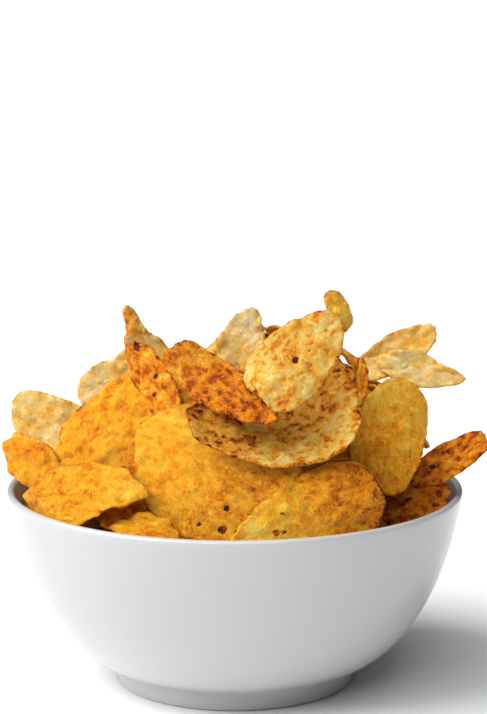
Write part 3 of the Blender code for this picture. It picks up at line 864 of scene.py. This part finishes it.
class Graph:
    """Builds a material's nodes."""

    def __init__(self, name):
        self.material = bpy.data.materials.new(name)
        self.material.use_nodes = True
        self.tree = self.material.node_tree
        self.shader = self.tree.nodes["Principled BSDF"]

    def add(self, kind, inputs=(), **settings):
        node = self.tree.nodes.new(kind)
        for key, value in settings.items():
            setattr(node, key, value)
        for key, value in dict(inputs).items():
            self.put(node.inputs[key], value)
        return node

    def put(self, socket, value):
        if isinstance(value, bpy.types.NodeSocket):
            self.tree.links.new(value, socket)
        else:
            socket.default_value = value

    def math(self, operation, *values):
        return self.add("ShaderNodeMath", enumerate(values), operation=operation).outputs[0]

    def noise(self, vector, scale, detail=2.0, roughness=0.5, distortion=0.0):
        inputs = {
            "Vector": vector,
            "Scale": scale,
            "Detail": detail,
            "Roughness": roughness,
            "Distortion": distortion,
        }
        return self.add("ShaderNodeTexNoise", inputs).outputs["Fac"]

    def contrast(self, value, low, high):
        """A value between low and high stretched to vary from -0.5 to 0.5."""
        return self.remap(value, low, high, -0.5, 0.5)

    def layer(self, vector, low, high, **settings):
        """Noise of these settings that varies from -0.5 to 0.5."""
        return self.contrast(self.noise(vector, **settings), low, high)

    def remap(self, value, low, high, to_low, to_high):
        inputs = {0: value, 1: low, 2: high, 3: to_low, 4: to_high}
        return self.add("ShaderNodeMapRange", inputs, interpolation_type="SMOOTHSTEP").outputs[0]

    def ramp(self, value, tones, places=(0.0, 1.0)):
        """A colour for a value, from these tones at these places."""
        node = self.add("ShaderNodeValToRGB", {0: value})
        elements = node.color_ramp.elements
        while len(elements) < len(tones):
            elements.new(0.5)
        for element, place, tone in zip(elements, places, tones):
            element.position = place
            element.color = (*linear(tone), 1.0)
        return node.outputs["Color"]

    def bump(self, height, strength, distance):
        inputs = {"Height": height, "Strength": strength, "Distance": distance}
        return self.add("ShaderNodeBump", inputs).outputs["Normal"]

    def finish(self, values):
        """The material, with these values or links at its shader's sockets."""
        for label, value in values.items():
            self.put(self.shader.inputs[label], value)
        return self.material

    def total(self, *values):
        result = values[0]
        for value in values[1:]:
            result = self.math("ADD", result, value)
        return result

    def weighted(self, *parts):
        """The total of values, each times its weight."""
        return self.total(*(self.math("MULTIPLY", value, weight) for value, weight in parts))


def crisp_material(name, kind):
    """Fried potato: browner in patches, wisps, flecks and freckles, inside its cells, along its
    creases, at its edge and at its burnt spots, and on some crisps towards a side in painted shade.
    Its bump follows all but the patches, the freckles, the edge and the painted shade."""
    graph = Graph(name)
    flat = graph.add("ShaderNodeAttribute", attribute_name="flat").outputs["Vector"]
    # The browning attribute also carries painted shade on some crisps
    toast_and_shade, crinkle, edge, burn = (
        graph.add("ShaderNodeAttribute", attribute_name=label).outputs["Fac"]
        for label in ("toast_and_shade", "crinkle", "edge", "burn")
    )
    patches = graph.layer(flat, 0.34, 0.66, scale=0.13, detail=3.0, roughness=0.6)
    wisps = graph.layer(flat, 0.36, 0.64, scale=0.42, detail=4.0, roughness=0.65, distortion=0.8)
    flecks = graph.layer(flat, 0.38, 0.62, scale=1.3, detail=4.0, roughness=0.7, distortion=1.0)
    grain = graph.layer(flat, 0.34, 0.66, scale=3.4, detail=2.0, roughness=0.6)
    swirl = graph.noise(flat, scale=0.5, detail=4.0, roughness=0.62, distortion=1.2)
    folds = graph.math("ABSOLUTE", graph.math("SUBTRACT", swirl, 0.5))
    lines = graph.remap(folds, 0.0, 0.04, 1.0, 0.0)
    drift = graph.add("ShaderNodeTexNoise", {"Vector": flat, "Scale": 0.35, "Detail": 2.0}).outputs["Color"]
    drifted = graph.add(
        "ShaderNodeVectorMath", {0: drift, 1: (3.2, 3.2, 3.2), 2: flat}, operation="MULTIPLY_ADD"
    ).outputs[0]
    stretched = graph.add(
        "ShaderNodeMapping", {0: drifted, "Rotation": (0, 0, 0.6), "Scale": (0.7, 1.25, 1)}
    ).outputs[0]
    cells = graph.add(
        "ShaderNodeTexVoronoi",
        {"Vector": stretched, "Scale": 1 / kind.cell_size, "Smoothness": 0.7},
        feature="SMOOTH_F1",
    ).outputs["Distance"]
    ridges = graph.contrast(cells, 0.18, 0.64)
    creased = graph.math("MULTIPLY", lines, crinkle)
    browned = graph.remap(graph.math("ADD", edge, graph.math("MULTIPLY", wisps, -1.2)), 0.0, 0.9, 0.2, 0.0)
    burnt = graph.remap(graph.math("ADD", burn, graph.math("MULTIPLY", flecks, 0.12)), 0.28, 0.56, 0.0, 0.6)
    freckles = graph.remap(graph.noise(flat, scale=0.6), 0.69, 0.74, 0.0, 0.3)
    varied = graph.weighted(
        (patches, kind.patches),
        (wisps, kind.patches * 0.7),
        (ridges, -kind.cells),
        (grain, 0.08),
        (flecks, 0.16),
        (creased, 0.22),
    )
    brown = graph.total(toast_and_shade, varied, browned, burnt, freckles)
    height = graph.weighted(
        (ridges, kind.cells * 1.2),
        (wisps, 0.25),
        (creased, -0.5),
        (flecks, 0.3),
        (grain, 0.06),
        (burnt, -0.5),
    )
    return graph.finish({
        "Base Color": graph.ramp(brown, kind.tones, TONE_PLACES),
        "Roughness": graph.remap(grain, -0.5, 0.5, 0.3, 0.5),
        "Specular IOR Level": 0.22,
        "Normal": graph.bump(height, 1.0, 0.001),
        "Subsurface Weight": 0.4,
        "Subsurface Radius": (1.0, 0.45, 0.1),
        "Subsurface Scale": 0.0015,
    })


def core_material():
    """The heap's deep inside, dark brown with lighter lumps: the dark brown is painted shade for the gaps
    between the crisps.
    """
    graph = Graph("crumbs_and_painted_shade")
    place = graph.add("ShaderNodeTexCoord").outputs["Object"]
    lumps = graph.noise(place, scale=220.0, detail=4.0, roughness=0.7)
    return graph.finish({
        "Base Color": graph.ramp(lumps, CRUMB_AND_SHADE_TONES),
        "Roughness": 0.7,
        "Normal": graph.bump(lumps, 1.0, 0.003),
    })


def porcelain_material():
    """White glaze painted light grey, a painted shade that keeps the bowl dim under lights set bright for
    the crisps: glossy, with the faint unevenness of a glazed surface.
    """
    graph = Graph("porcelain")
    place = graph.add("ShaderNodeTexCoord").outputs["Object"]
    sweep = graph.noise(place, scale=14.0)
    ripple = graph.noise(place, scale=45.0)
    smears = graph.noise(place, scale=120.0, detail=3.0, roughness=0.6)
    return graph.finish({
        "Base Color": graph.ramp(sweep, SHADED_GLAZE_TONES),
        "Roughness": graph.remap(smears, 0.3, 0.7, 0.16, 0.24),
        "Normal": graph.bump(ripple, 0.12, 0.0006),
        "Coat Weight": 0.4,
        "Coat Roughness": 0.06,
    })


def floor_material():
    return Graph("floor").finish({"Base Color": (0.9, 0.9, 0.9, 1.0), "Roughness": 0.8})


# Pieces


def axis_place():
    """The middle of the bowl's foot in the frame, in metres."""
    low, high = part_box("bowl")
    return Vector(((low.x + high.x) / 2, (low.y + high.y) / 2, 0.0))


def placed(name, mesh, finish):
    """An object of a mesh, moved from the bowl's axis to its place in the frame."""
    obj = bpy.data.objects.new(name, mesh)
    obj.location = axis_place()
    mesh.materials.append(finish)
    bpy.context.scene.collection.objects.link(obj)
    return obj


def mesh_of(name, shape):
    mesh = bpy.data.meshes.new(name)
    shape.to_mesh(mesh)
    shape.free()
    return mesh


def add_piece(obj, node):
    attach(obj, "root")
    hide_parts(node)


def build_bowl():
    mesh = mesh_of("porcelain_bowl", turned(bowl_profile(), BOWL_SEGMENTS))
    mesh.shade_smooth()
    mesh.set_sharp_from_angle(angle=SHARPEST_SMOOTH_EDGE)
    add_piece(placed("porcelain_bowl", mesh, porcelain_material()), "bowl")


def build_crisps():
    laid, trees, shown_trees = lay_heap(tree_of(core_shape()))
    bits = random_bits(trees, shown_trees)
    meshes = {kind: CrispMesh() for kind in KINDS}
    for name, crisp in laid.items():
        look = LOOKS.get(name) or rule_look(crisp)
        meshes[look.kind].add(crisp, look, *(FINE_SHOWN if name in SHOWN else FINE_RING))
    for crisp in bits:
        look = rule_look(crisp)
        meshes[look.kind].add(crisp, look, *FINE_BIT)
    for kind, mesh in meshes.items():
        finish = crisp_material(f"{kind}_crisp", KINDS[kind])
        add_piece(mesh.build(f"{kind}_crisps", finish), "crisps")
    core = mesh_of("crumbs_and_painted_shade", core_shape())
    core.shade_smooth()
    add_piece(placed("crumbs_and_painted_shade", core, core_material()), "crisps")


# Stage


def build_floor():
    shape = bmesh.new()
    bmesh.ops.create_grid(shape, x_segments=1, y_segments=1, size=FLOOR_SIZE)
    floor = placed("floor", mesh_of("floor", shape), floor_material())
    floor.location.z = -FLOOR_DROP


def add_sun(name, source, strength):
    """A broad distant light from a direction."""
    light = bpy.data.lights.new(name, "SUN")
    light.energy = strength
    light.angle = SUN_SPREAD
    sun = bpy.data.objects.new(name, light)
    sun.rotation_euler = (-Vector(source)).to_track_quat("-Z", "Y").to_euler()
    bpy.context.scene.collection.objects.link(sun)


def build_light():
    """A key from the left, a weaker fill from high in front and an even pale room."""
    add_sun("key", KEY_FROM, KEY_STRENGTH)
    add_sun("fill", FILL_FROM, FILL_STRENGTH)
    world = bpy.data.worlds.new("studio")
    world.use_nodes = True
    background = world.node_tree.nodes["Background"]
    background.inputs["Color"].default_value = (1.0, 1.0, 1.0, 1.0)
    background.inputs["Strength"].default_value = ROOM_STRENGTH
    bpy.context.scene.world = world
    bpy.context.scene.view_settings.view_transform = "Standard"


def build_camera():
    data = bpy.data.cameras.new("camera")
    data.lens = CAMERA_LENS
    data.sensor_width = SENSOR
    camera = bpy.data.objects.new("camera", data)
    back = Vector((0.0, -math.cos(CAMERA_ELEVATION), math.sin(CAMERA_ELEVATION)))
    camera.location = axis_place() + CAMERA_AIM + back * CAMERA_DISTANCE
    camera.rotation_euler = (math.radians(90) - CAMERA_ELEVATION, 0.0, 0.0)
    bpy.context.scene.collection.objects.link(camera)
    bpy.context.scene.camera = camera


build_bowl()
build_crisps()
build_floor()
build_light()
build_camera()
